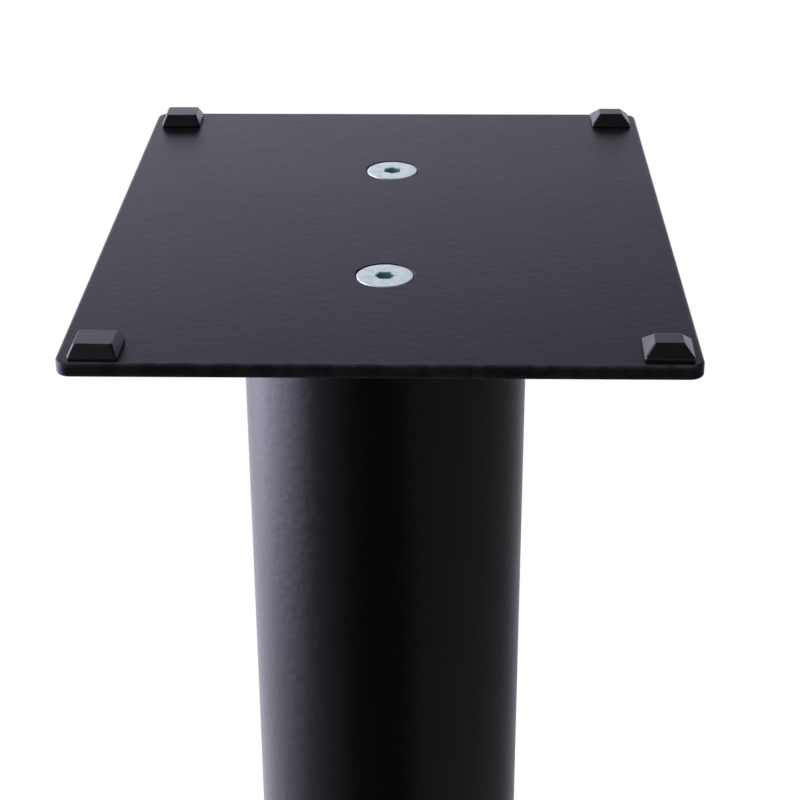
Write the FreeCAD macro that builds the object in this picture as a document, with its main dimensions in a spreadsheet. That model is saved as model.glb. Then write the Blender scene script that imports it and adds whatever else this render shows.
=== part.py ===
"""Speaker stand: a steel top plate with rubber pads, on two round columns and a spiked base plate.

Millimetres. +X is to the right, +Y to the back and +Z up. The origin is on the floor under the
middle of the stand, where the four spikes stand. The columns stand one behind the other on the
Y axis. A bar welded across each end of a column takes the one central screw that holds it to
the plate there.
"""

import FreeCAD
import Part
import math
import os

import Sketcher

from FreeCAD import Placement, Rotation, Vector

SIZES = {
    # whole stand
    "stand_height": 600.0,
    "base_clearance": 27.0,
    "column_spacing": 85.4,
    # top plate
    "top_width": 165.0,
    "top_depth": 200.0,
    "top_thickness": 4.0,
    "top_corner_radius": 4.0,
    "top_edge_radius": 0.6,
    # base plate
    "base_width": 250.0,
    "base_depth": 300.0,
    "base_thickness": 8.0,
    "base_corner_radius": 10.0,
    "base_edge_radius": 0.8,
    # columns, and the bars welded across their ends
    "column_diameter": 80.0,
    "column_wall": 2.0,
    "anchor_width": 25.0,
    "anchor_thickness": 10.0,
    "anchor_setback": 0.5,
    "anchor_gap": 0.05,
    # thread of the screws, the spikes and the locknuts
    "thread_diameter": 8.0,
    "thread_clearance": 0.05,
    "thread_chamfer": 0.8,
    # countersunk screws and their holes
    "screw_hole_diameter": 9.0,
    "screw_head_diameter": 16.0,
    "screw_head_land": 0.6,
    "screw_recess": 0.0,
    "screw_seat_gap": 0.05,
    "screw_socket_flats": 5.0,
    "screw_socket_depth": 3.2,
    "top_screw_length": 16.0,
    "base_screw_length": 20.0,
    # turn of each top screw's socket, where it came up tight
    "front_screw_turn": 30.0,
    "rear_screw_turn": 0.0,
    # rubber pads on a common square base: the left pair has the wider tops
    "pad_height": 3.85,
    "pad_skirt": 1.0,
    "pad_base": 12.9,
    "pad_corner_radius": 0.7,
    "left_pad_top_width": 10.1,
    "left_pad_top_depth": 8.6,
    "right_pad_top_width": 7.4,
    "right_pad_top_depth": 5.8,
    # middle of each pad from the plate's side and end, as stuck on by hand, and its turn
    "front_left_pad_from_side": 9.85,
    "front_left_pad_from_end": 7.7,
    "front_left_pad_turn": -1.5,
    "front_right_pad_from_side": 8.75,
    "front_right_pad_from_end": 8.6,
    "front_right_pad_turn": -1.5,
    "rear_left_pad_from_side": 9.3,
    "rear_left_pad_from_end": 9.3,
    "rear_left_pad_turn": 0.5,
    "rear_right_pad_from_side": 8.95,
    "rear_right_pad_from_end": 8.5,
    "rear_right_pad_turn": -0.4,
    # floor spikes and their locknuts
    "spike_from_side": 20.0,
    "spike_from_end": 20.0,
    "spike_length": 44.0,
    "spike_cone_length": 14.0,
    "spike_tip_diameter": 1.2,
    "spike_socket_flats": 4.0,
    "spike_socket_depth": 5.0,
    "locknut_flats": 13.0,
    "locknut_thickness": 4.0,
    "locknut_face_diameter": 12.2,
    "locknut_corner_drop": 0.8,
}

# The column's place along Y, and the signs of X and Y at the stand's corners.
COLUMN_SIDES = {"front": -1, "rear": 1}
CORNERS = {
    "front_left": (-1, -1),
    "front_right": (1, -1),
    "rear_left": (-1, 1),
    "rear_right": (1, 1),
}

# Heights that several pieces share, as formulas of the sheet.
TOP_PLATE_UNDERSIDE = "Sizes.stand_height - Sizes.top_thickness"
BASE_PLATE_TOP = "Sizes.base_clearance + Sizes.base_thickness"

# Widths that mating pieces share.
THREAD_HOLE = "Sizes.thread_diameter + 2 * Sizes.thread_clearance"
COUNTERSINK = (
    "Sizes.screw_head_diameter"
    " + 2 * (Sizes.screw_recess + Sizes.screw_head_land + Sizes.screw_seat_gap)"
)
FLAT_TOLERANCE = 1e-6


def make_sheet(doc):
    """Put each driving dimension in the sheet, in a cell with its own alias."""
    sheet = doc.addObject("Spreadsheet::Sheet", "Sizes")
    for row, (alias, size) in enumerate(SIZES.items(), start=1):
        sheet.set(f"A{row}", alias)
        sheet.set(f"B{row}", str(size))
        sheet.setAlias(f"B{row}", alias)
    doc.recompute()
    return sheet


def value(obj, formula):
    """Work out a formula of the sheet, to draw a shape near its place."""
    return float(obj.evalExpression(formula))


def new_body(doc, name, x="0", y="0", z="0", rotation=None):
    """Make an empty body. Its place follows the sheet, and it may be turned about its origin."""
    body = doc.addObject("PartDesign::Body", name)
    body.Label = name
    if rotation is not None:
        body.Placement = Placement(Vector(), rotation)
    body.setExpression("Placement.Base.x", x)
    body.setExpression("Placement.Base.y", y)
    body.setExpression("Placement.Base.z", z)
    return body


def new_sketch(body, name, plane="XY_Plane", height="0"):
    """Make a sketch on one of the body's own planes, lifted off it by a formula."""
    sketch = body.newObject("Sketcher::SketchObject", f"{body.Name}_{name}")
    support = next(feature for feature in body.Origin.OriginFeatures if feature.Role == plane)
    sketch.AttachmentSupport = (support, "")
    sketch.MapMode = "FlatFace"
    sketch.setExpression("AttachmentOffset.Base.z", height)
    return sketch


def constrain(sketch, kind, *arguments):
    """Add a constraint that has no size, such as Tangent."""
    return sketch.addConstraint(Sketcher.Constraint(kind, *arguments))


def dimension(sketch, name, formula, kind, *arguments):
    """Add a named dimension whose size follows the sheet."""
    index = constrain(sketch, kind, *arguments, value(sketch, formula))
    sketch.renameConstraint(index, name)
    sketch.setExpression(f"Constraints.{name}", formula)


def draw_circle(sketch, name, diameter, x="0", y="0"):
    """Draw a circle whose centre and diameter follow the sheet."""
    centre = Vector(value(sketch, x), value(sketch, y), 0)
    circle = Part.Circle(centre, Vector(0, 0, 1), value(sketch, diameter) / 2)
    index = sketch.addGeometry(circle, False)
    if x == "0":
        constrain(sketch, "PointOnObject", index, 3, -2)
    else:
        dimension(sketch, f"{name}X", x, "DistanceX", -1, 1, index, 3)
    if y == "0":
        constrain(sketch, "PointOnObject", index, 3, -1)
    else:
        dimension(sketch, f"{name}Y", y, "DistanceY", -1, 1, index, 3)
    dimension(sketch, f"{name}Diameter", diameter, "Diameter", index)


def draw_rounded_rectangle(sketch, width, depth, radius):
    """Draw a rectangle with round corners about the sketch's origin."""
    round_by = value(sketch, radius)
    reach_x = value(sketch, width) / 2 - round_by
    reach_y = value(sketch, depth) / 2 - round_by
    arcs = []
    for quarter, (side_x, side_y) in enumerate(((1, 1), (-1, 1), (-1, -1), (1, -1))):
        circle = Part.Circle(Vector(side_x * reach_x, side_y * reach_y, 0), Vector(0, 0, 1), round_by)
        start = quarter * math.pi / 2
        arcs.append(sketch.addGeometry(Part.ArcOfCircle(circle, start, start + math.pi / 2), False))
    for quarter, direction in enumerate(("Horizontal", "Vertical", "Horizontal", "Vertical")):
        following = arcs[(quarter + 1) % 4]
        ends = sketch.getPoint(arcs[quarter], 2), sketch.getPoint(following, 1)
        side = sketch.addGeometry(Part.LineSegment(*ends), False)
        constrain(sketch, "Tangent", arcs[quarter], 2, side, 1)
        constrain(sketch, "Tangent", side, 2, following, 1)
        constrain(sketch, direction, side)
    for arc in arcs[1:]:
        constrain(sketch, "Equal", arcs[0], arc)
    constrain(sketch, "Symmetric", arcs[0], 3, arcs[2], 3, -1, 1)
    dimension(sketch, "CornerRadius", radius, "Radius", arcs[0])
    dimension(sketch, "ReachX", f"{width} - 2 * {radius}", "DistanceX", arcs[1], 3, arcs[0], 3)
    dimension(sketch, "ReachY", f"{depth} - 2 * {radius}", "DistanceY", arcs[3], 3, arcs[0], 3)


def draw_hexagon(sketch, across_flats):
    """Draw a hexagon about the sketch's origin, with two of its flats square to X."""
    corner_radius = value(sketch, across_flats) / math.sqrt(3)
    corners = [
        Vector(corner_radius * math.cos(angle), corner_radius * math.sin(angle), 0)
        for angle in (math.radians(60 * step - 30) for step in range(7))
    ]
    rim = sketch.addGeometry(Part.Circle(Vector(), Vector(0, 0, 1), corner_radius), True)
    constrain(sketch, "Coincident", rim, 3, -1, 1)
    sides = [
        sketch.addGeometry(Part.LineSegment(start, end), False)
        for start, end in zip(corners, corners[1:])
    ]
    for step, side in enumerate(sides):
        constrain(sketch, "Coincident", side, 2, sides[(step + 1) % 6], 1)
        constrain(sketch, "PointOnObject", side, 1, rim)
    for side in sides[1:]:
        constrain(sketch, "Equal", sides[0], side)
    constrain(sketch, "Vertical", sides[0])
    dimension(sketch, "CornerRadius", f"{across_flats} / sqrt(3)", "Radius", rim)


def draw_half_profile(sketch, points):
    """Draw a closed outline through points, each a pair of formulas: radius and height."""
    places = [Vector(value(sketch, radius), value(sketch, height), 0) for radius, height in points]
    lines = [
        sketch.addGeometry(Part.LineSegment(start, end), False)
        for start, end in zip(places, places[1:] + places[:1])
    ]
    for index, (radius, height) in enumerate(points):
        line = lines[index]
        constrain(sketch, "Coincident", line, 2, lines[(index + 1) % len(lines)], 1)
        if radius == "0":
            constrain(sketch, "PointOnObject", line, 1, -2)
        else:
            dimension(sketch, f"Radius{index}", radius, "DistanceX", -1, 1, line, 1)
        if height == "0":
            constrain(sketch, "PointOnObject", line, 1, -1)
        else:
            dimension(sketch, f"Height{index}", height, "DistanceY", -1, 1, line, 1)


def draw_bar_in_bore(sketch, bore_radius, width):
    """Draw a bar along X whose round ends fit a bore about the sketch's origin."""
    radius = value(sketch, bore_radius)
    half_angle = math.asin(value(sketch, width) / 2 / radius)
    circle = Part.Circle(Vector(), Vector(0, 0, 1), radius)
    ends = [
        sketch.addGeometry(Part.ArcOfCircle(circle, middle - half_angle, middle + half_angle), False)
        for middle in (0.0, math.pi)
    ]
    for end, other in (ends, ends[::-1]):
        side = sketch.addGeometry(
            Part.LineSegment(sketch.getPoint(end, 2), sketch.getPoint(other, 1)), False
        )
        constrain(sketch, "Coincident", end, 2, side, 1)
        constrain(sketch, "Coincident", side, 2, other, 1)
        constrain(sketch, "Horizontal", side)
        constrain(sketch, "Coincident", end, 3, -1, 1)
    constrain(sketch, "Equal", *ends)
    constrain(sketch, "Symmetric", ends[0], 1, ends[0], 2, -1)
    dimension(sketch, "BoreRadius", bore_radius, "Radius", ends[0])
    dimension(sketch, "Width", width, "DistanceY", ends[0], 1, ends[0], 2)


def pad(body, sketch, length):
    """Raise a sketch into a solid of the given length."""
    feature = body.newObject("PartDesign::Pad", f"{sketch.Name}_pad")
    feature.Profile = sketch
    feature.setExpression("Length", length)
    body.Document.recompute()
    return feature


def revolve(body, sketch):
    """Turn a half profile about Z."""
    feature = body.newObject("PartDesign::Revolution", f"{sketch.Name}_turned")
    feature.Profile = sketch
    feature.ReferenceAxis = (sketch, ["V_Axis"])
    feature.Angle = 360.0
    body.Document.recompute()
    return feature


def cut(body, kind, sketch, **settings):
    """Add a feature that removes material, and make sure that it removed some."""
    volume_before = body.Shape.Volume
    feature = body.newObject(f"PartDesign::{kind}", f"{sketch.Name}_{kind.lower()}")
    feature.Profile = sketch
    for name, setting in settings.items():
        if isinstance(setting, str) and "Sizes." in setting:
            feature.setExpression(name, setting)
        else:
            setattr(feature, name, setting)
    body.Document.recompute()
    if body.Shape.Volume >= volume_before - FLAT_TOLERANCE:
        raise RuntimeError(f"{feature.Name} cuts nothing")
    return feature


def edge_names(shape, test):
    """Names of the edges of a shape that pass a test."""
    return [f"Edge{index}" for index, edge in enumerate(shape.Edges, start=1) if test(edge)]


def ease_edges(body, kind, size_name, size, test):
    """Fillet or chamfer the edges that pass a test."""
    base = body.Tip
    names = edge_names(base.Shape, test)
    feature = body.newObject(f"PartDesign::{kind}", f"{base.Name}_{kind.lower()}")
    feature.Base = (base, names)
    feature.setExpression(size_name, size)
    body.Document.recompute()
    return feature


def is_level(edge):
    """Whether an edge lies in one horizontal plane."""
    return edge.BoundBox.ZLength < FLAT_TOLERANCE


def is_circle_of(diameter):
    """A test for the level full circles of one diameter."""
    def test(edge):
        round_edge = edge.Curve.TypeId == "Part::GeomCircle" and edge.isClosed()
        return round_edge and abs(edge.Curve.Radius - diameter / 2) < FLAT_TOLERANCE
    return test


def hex_socket(body, flats, depth, height="0"):
    """Sink a hexagonal key socket into an upper end."""
    sketch = new_sketch(body, "socket", height=height)
    draw_hexagon(sketch, flats)
    cut(body, "Pocket", sketch, Length=depth)


def chamfer_thread_hole(body):
    """Chamfer both mouths of the threaded holes."""
    test = is_circle_of(value(body, THREAD_HOLE))
    ease_edges(body, "Chamfer", "Size", "Sizes.thread_chamfer", test)


def make_plate(doc, name, z, prefix):
    """Make a flat plate with round corners and eased edges."""
    body = new_body(doc, name, z=z)
    outline = new_sketch(body, "outline")
    draw_rounded_rectangle(
        outline, f"Sizes.{prefix}_width", f"Sizes.{prefix}_depth", f"Sizes.{prefix}_corner_radius"
    )
    pad(body, outline, f"Sizes.{prefix}_thickness")
    ease_edges(body, "Fillet", "Radius", f"Sizes.{prefix}_edge_radius", is_level)
    return body


def sink_screw_holes(body, height, upward):
    """Drill and countersink one hole over each column."""
    sketch = new_sketch(body, "screw_holes", height=height)
    for name, side in COLUMN_SIDES.items():
        draw_circle(
            sketch, name.capitalize(), "Sizes.screw_hole_diameter", y=f"{side} * Sizes.column_spacing / 2"
        )
    cut(
        body,
        "Hole",
        sketch,
        Reversed=upward,
        HoleCutType="Countersink",
        Diameter="Sizes.screw_hole_diameter",
        HoleCutDiameter=COUNTERSINK,
        HoleCutCountersinkAngle=90.0,
        DepthType="ThroughAll",
    )


def make_top_plate(doc):
    """Make the plate that the speaker stands over, countersunk from above."""
    body = make_plate(doc, "top_plate", TOP_PLATE_UNDERSIDE, "top")
    sink_screw_holes(body, "Sizes.top_thickness", upward=False)


def make_base_plate(doc):
    """Make the heavy plate at the foot, countersunk from below and tapped for the spikes."""
    body = make_plate(doc, "base_plate", "Sizes.base_clearance", "base")
    sink_screw_holes(body, "0", upward=True)
    sketch = new_sketch(body, "spike_holes", height="Sizes.base_thickness")
    for name, (side_x, side_y) in CORNERS.items():
        x, y = spike_place(side_x, side_y)
        draw_circle(sketch, name.title().replace("_", ""), THREAD_HOLE, x, y)
    cut(body, "Pocket", sketch, Type="ThroughAll")
    chamfer_thread_hole(body)


def make_column(doc, end, side):
    """Make a round tube between the plates, with a tapped bar welded across each end."""
    y = f"{side} * Sizes.column_spacing / 2"
    bore_diameter = "(Sizes.column_diameter - 2 * Sizes.column_wall)"
    tube = new_body(doc, f"{end}_column", y=y, z=BASE_PLATE_TOP)
    ring = new_sketch(tube, "ring")
    draw_circle(ring, "Outside", "Sizes.column_diameter")
    draw_circle(ring, "Inside", bore_diameter)
    pad(tube, ring, f"{TOP_PLATE_UNDERSIDE} - ({BASE_PLATE_TOP})")

    heights = {
        "upper": f"{TOP_PLATE_UNDERSIDE} - Sizes.anchor_setback - Sizes.anchor_thickness",
        "lower": f"{BASE_PLATE_TOP} + Sizes.anchor_setback",
    }
    for level, z in heights.items():
        anchor = new_body(doc, f"{end}_column_{level}_anchor", y=y, z=z)
        bar = new_sketch(anchor, "bar")
        draw_bar_in_bore(bar, f"{bore_diameter} / 2 - Sizes.anchor_gap", "Sizes.anchor_width")
        draw_circle(bar, "Thread", THREAD_HOLE)
        pad(anchor, bar, "Sizes.anchor_thickness")
        chamfer_thread_hole(anchor)


def make_screw(doc, name, side, z, length, rotation):
    """Make a countersunk socket screw, its head face at the body's origin and upward before the turn."""
    head_radius = "Sizes.screw_head_diameter / 2"
    thread_radius = "Sizes.thread_diameter / 2"
    cone_end = f"-Sizes.screw_head_land - {head_radius} + {thread_radius}"
    body = new_body(doc, name, y=f"{side} * Sizes.column_spacing / 2", z=z, rotation=rotation)
    profile = new_sketch(body, "profile", plane="XZ_Plane")
    draw_half_profile(
        profile,
        [
            ("0", "0"),
            (head_radius, "0"),
            (head_radius, "-Sizes.screw_head_land"),
            (thread_radius, cone_end),
            (thread_radius, f"-{length} + Sizes.thread_chamfer"),
            (f"{thread_radius} - Sizes.thread_chamfer", f"-{length}"),
            ("0", f"-{length}"),
        ],
    )
    revolve(body, profile)
    hex_socket(body, "Sizes.screw_socket_flats", "Sizes.screw_socket_depth")


def make_screws(doc):
    """Make the screws that hold each column to the top plate and to the base plate."""
    head_down = Rotation(Vector(1, 0, 0), 180)
    top_face = "Sizes.stand_height - Sizes.screw_recess"
    base_face = "Sizes.base_clearance + Sizes.screw_recess"
    for end, side in COLUMN_SIDES.items():
        turned = Rotation(Vector(0, 0, 1), SIZES[f"{end}_screw_turn"])
        make_screw(doc, f"top_screw_{end}", side, top_face, "Sizes.top_screw_length", turned)
        make_screw(doc, f"base_screw_{end}", side, base_face, "Sizes.base_screw_length", head_down)


def make_rubber_pad(doc, corner, side_x, side_y):
    """Make one moulded rubber pad: a low square skirt under a tapered block."""
    half = "left" if side_x < 0 else "right"
    base = "Sizes.pad_base"
    radius = "Sizes.pad_corner_radius"
    body = new_body(
        doc,
        f"top_pad_{corner}",
        x=f"{side_x} * (Sizes.top_width / 2 - Sizes.{corner}_pad_from_side)",
        y=f"{side_y} * (Sizes.top_depth / 2 - Sizes.{corner}_pad_from_end)",
        z="Sizes.stand_height",
        rotation=Rotation(Vector(0, 0, 1), SIZES[f"{corner}_pad_turn"]),
    )
    foot = new_sketch(body, "foot")
    draw_rounded_rectangle(foot, base, base, radius)
    pad(body, foot, "Sizes.pad_skirt")

    shoulder = new_sketch(body, "shoulder", height="Sizes.pad_skirt")
    draw_rounded_rectangle(shoulder, base, base, radius)
    top = new_sketch(body, "top", height="Sizes.pad_height")
    draw_rounded_rectangle(top, f"Sizes.{half}_pad_top_width", f"Sizes.{half}_pad_top_depth", radius)
    taper = body.newObject("PartDesign::AdditiveLoft", f"{body.Name}_taper")
    taper.Profile = shoulder
    taper.Sections = [top]
    taper.Ruled = True
    doc.recompute()


def spike_place(side_x, side_y):
    """Formulas for the X and Y of a corner's spike."""
    x = f"{side_x} * (Sizes.base_width / 2 - Sizes.spike_from_side)"
    y = f"{side_y} * (Sizes.base_depth / 2 - Sizes.spike_from_end)"
    return x, y


def make_spike(doc, corner, x, y):
    """Make a threaded spike, point down on the floor, with a key socket in its upper end."""
    radius = "Sizes.thread_diameter / 2"
    length = "Sizes.spike_length"
    body = new_body(doc, f"floor_spike_{corner}", x=x, y=y)
    profile = new_sketch(body, "profile", plane="XZ_Plane")
    draw_half_profile(
        profile,
        [
            ("0", "0"),
            ("Sizes.spike_tip_diameter / 2", "0"),
            (radius, "Sizes.spike_cone_length"),
            (radius, f"{length} - Sizes.thread_chamfer"),
            (f"{radius} - Sizes.thread_chamfer", length),
            ("0", length),
        ],
    )
    revolve(body, profile)
    hex_socket(body, "Sizes.spike_socket_flats", "Sizes.spike_socket_depth", length)


def make_locknut(doc, corner, x, y):
    """Make a thin hexagon nut, tight under the base plate, with its corners turned down."""
    thickness = "Sizes.locknut_thickness"
    body = new_body(
        doc, f"spike_locknut_{corner}", x=x, y=y, z=f"Sizes.base_clearance - {thickness}"
    )
    outline = new_sketch(body, "outline")
    draw_hexagon(outline, "Sizes.locknut_flats")
    draw_circle(outline, "Thread", THREAD_HOLE)
    pad(body, outline, thickness)

    face_radius = "Sizes.locknut_face_diameter / 2"
    overrun = f"(2 * Sizes.locknut_flats / sqrt(3) - {face_radius})"
    drop = "2 * Sizes.locknut_corner_drop"
    rims = {
        "upper_corners": (thickness, f"{thickness} - {drop}"),
        "lower_corners": ("0", drop),
    }
    for name, (face, outer) in rims.items():
        wedge = new_sketch(body, name, plane="XZ_Plane")
        draw_half_profile(wedge, [(face_radius, face), (overrun, face), (overrun, outer)])
        cut(body, "Groove", wedge, ReferenceAxis=(wedge, ["V_Axis"]), Angle=360.0)
    chamfer_thread_hole(body)


def make_feet(doc):
    """Make a spike and its locknut for each corner of the base plate."""
    for corner, (side_x, side_y) in CORNERS.items():
        x, y = spike_place(side_x, side_y)
        make_spike(doc, corner, x, y)
        make_locknut(doc, corner, x, y)


def check_document(doc):
    """Stop if an object failed, or if a sub-part is not one valid solid."""
    for obj in doc.Objects:
        faults = [state for state in obj.State if state in ("Invalid", "Error")]
        if faults:
            raise RuntimeError(f"{obj.Name} is in state {faults}")
    for body in doc.findObjects("PartDesign::Body"):
        shape = body.Shape
        if shape.isNull() or not shape.isValid() or len(shape.Solids) != 1:
            raise RuntimeError(f"{body.Label} is not one valid solid")


def export_parts(doc):
    """Write each sub-part to a file that has its name."""
    os.makedirs("parts", exist_ok=True)
    for body in doc.findObjects("PartDesign::Body"):
        body.Shape.exportStep(f"parts/{body.Label}.step")
        print(f"{body.Label}: {body.Shape.Volume:.1f} mm3")


def main():
    """Build the stand from the top plate down and write its parts."""
    doc = FreeCAD.newDocument("speaker_stand")
    make_sheet(doc)
    make_top_plate(doc)
    make_base_plate(doc)
    for end, side in COLUMN_SIDES.items():
        make_column(doc, end, side)
    make_screws(doc)
    for corner, (side_x, side_y) in CORNERS.items():
        make_rubber_pad(doc, corner, side_x, side_y)
    make_feet(doc)
    doc.recompute()
    check_document(doc)
    export_parts(doc)


main()
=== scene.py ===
"""Looks of the speaker stand: its finishes, threaded fasteners, moulded pads and the studio.

Metres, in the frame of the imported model: +X is to the right, +Y to the back and +Z up.
"""

import logging
import math
from collections.abc import Callable, Iterator
from contextlib import contextmanager
from dataclasses import dataclass
from enum import Enum
from typing import Any

import bmesh
import bpy
from mathutils import Matrix, Vector


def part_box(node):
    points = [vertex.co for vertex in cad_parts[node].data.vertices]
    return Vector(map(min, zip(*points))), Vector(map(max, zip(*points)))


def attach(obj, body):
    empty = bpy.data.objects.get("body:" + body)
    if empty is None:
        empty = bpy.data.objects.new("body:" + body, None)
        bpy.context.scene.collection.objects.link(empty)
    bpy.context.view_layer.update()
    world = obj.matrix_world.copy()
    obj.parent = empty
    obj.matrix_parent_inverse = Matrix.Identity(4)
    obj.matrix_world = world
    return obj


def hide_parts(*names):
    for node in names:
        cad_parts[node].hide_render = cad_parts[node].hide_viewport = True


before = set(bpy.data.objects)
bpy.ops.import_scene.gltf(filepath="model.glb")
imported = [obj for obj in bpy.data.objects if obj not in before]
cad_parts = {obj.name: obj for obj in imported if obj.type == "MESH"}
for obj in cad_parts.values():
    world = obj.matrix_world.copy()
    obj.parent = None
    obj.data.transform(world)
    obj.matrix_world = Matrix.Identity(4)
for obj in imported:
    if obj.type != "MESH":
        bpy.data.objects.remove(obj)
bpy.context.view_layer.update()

LOG = logging.getLogger("speaker_stand")
MM = 0.001
LEVEL_TOLERANCE = 0.01 * MM
RING_TOLERANCE = 0.02 * MM
MERGE_DISTANCE = 0.0005 * MM
CUT_TOLERANCE = 0.0001 * MM
ROOT_BODY = "stand"

Colour = tuple[float, float, float]
Feed = Any
Test = Callable[[Any], bool]


class Corner(Enum):
    """The corners of both plates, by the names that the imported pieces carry."""

    FRONT_LEFT = "front_left"
    FRONT_RIGHT = "front_right"
    REAR_LEFT = "rear_left"
    REAR_RIGHT = "rear_right"


class End(Enum):
    """The two columns, one behind the other."""

    FRONT = "front"
    REAR = "rear"


class Slot(Enum):
    """The record's material slots."""

    POWDER_COAT = "powder_coat"
    BARE_STEEL = "bare_steel"
    ZINC_PLATE = "zinc_plate"
    PAD_RUBBER = "pad_rubber"
    SPIKE_STEEL = "spike_steel"


class Element(Enum):
    """What is selected in edit mode."""

    VERTEX = ("VERT", "verts")
    EDGE = ("EDGE", "edges")
    FACE = ("FACE", "faces")


# Shader maths


class Signal:
    """A number that varies over a surface. Sums of signals add their own maths nodes."""

    def __init__(self, graph: "Graph", socket: bpy.types.NodeSocket) -> None:
        """Wrap a socket.

        Args:
            graph: The graph that the socket belongs to.
            socket: An output that gives one number.
        """
        self.graph = graph
        self.socket = socket

    def __add__(self, other: "Signal | float") -> "Signal":
        """Signal plus other."""
        return self.graph.maths("ADD", self, other)

    def __radd__(self, other: float) -> "Signal":
        """Other plus signal."""
        return self.graph.maths("ADD", other, self)

    def __sub__(self, other: "Signal | float") -> "Signal":
        """Signal minus other."""
        return self.graph.maths("SUBTRACT", self, other)

    def __rsub__(self, other: float) -> "Signal":
        """Other minus signal."""
        return self.graph.maths("SUBTRACT", other, self)

    def __mul__(self, other: "Signal | float") -> "Signal":
        """Signal times other."""
        return self.graph.maths("MULTIPLY", self, other)

    def __rmul__(self, other: float) -> "Signal":
        """Other times signal."""
        return self.graph.maths("MULTIPLY", other, self)

    def __truediv__(self, other: "Signal | float") -> "Signal":
        """Signal over other."""
        return self.graph.maths("DIVIDE", self, other)

    def __rtruediv__(self, other: float) -> "Signal":
        """Other over signal."""
        return self.graph.maths("DIVIDE", other, self)

    def __pow__(self, other: "Signal | float") -> "Signal":
        """Signal to the power of other."""
        return self.graph.maths("POWER", self, other)

    def __rpow__(self, other: float) -> "Signal":
        """Other to the power of signal."""
        return self.graph.maths("POWER", other, self)

    def __abs__(self) -> "Signal":
        """Size of the signal without its sign."""
        return self.graph.maths("ABSOLUTE", self)

    def root(self) -> "Signal":
        """Square root of the signal."""
        return self.graph.maths("SQRT", self)

    def sine(self) -> "Signal":
        """Sine of the signal, which is in radians."""
        return self.graph.maths("SINE", self)

    def at_least(self, other: "Signal | float") -> "Signal":
        """The larger of the signal and other."""
        return self.graph.maths("MAXIMUM", self, other)

    def at_most(self, other: "Signal | float") -> "Signal":
        """The smaller of the signal and other."""
        return self.graph.maths("MINIMUM", self, other)

    def rise(self, low: float, high: float) -> "Signal":
        """Ease from 0 to 1 while the signal goes from low to high.

        Args:
            low: The signal's value where the result is 0.
            high: The signal's value where the result is 1. It may be less than low.

        Returns:
            A signal between 0 and 1.
        """
        node = self.graph.node(
            "ShaderNodeMapRange",
            {"interpolation_type": "SMOOTHSTEP"},
            {"Value": self, "From Min": low, "From Max": high},
        )
        return Signal(self.graph, node.outputs["Result"])


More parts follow.
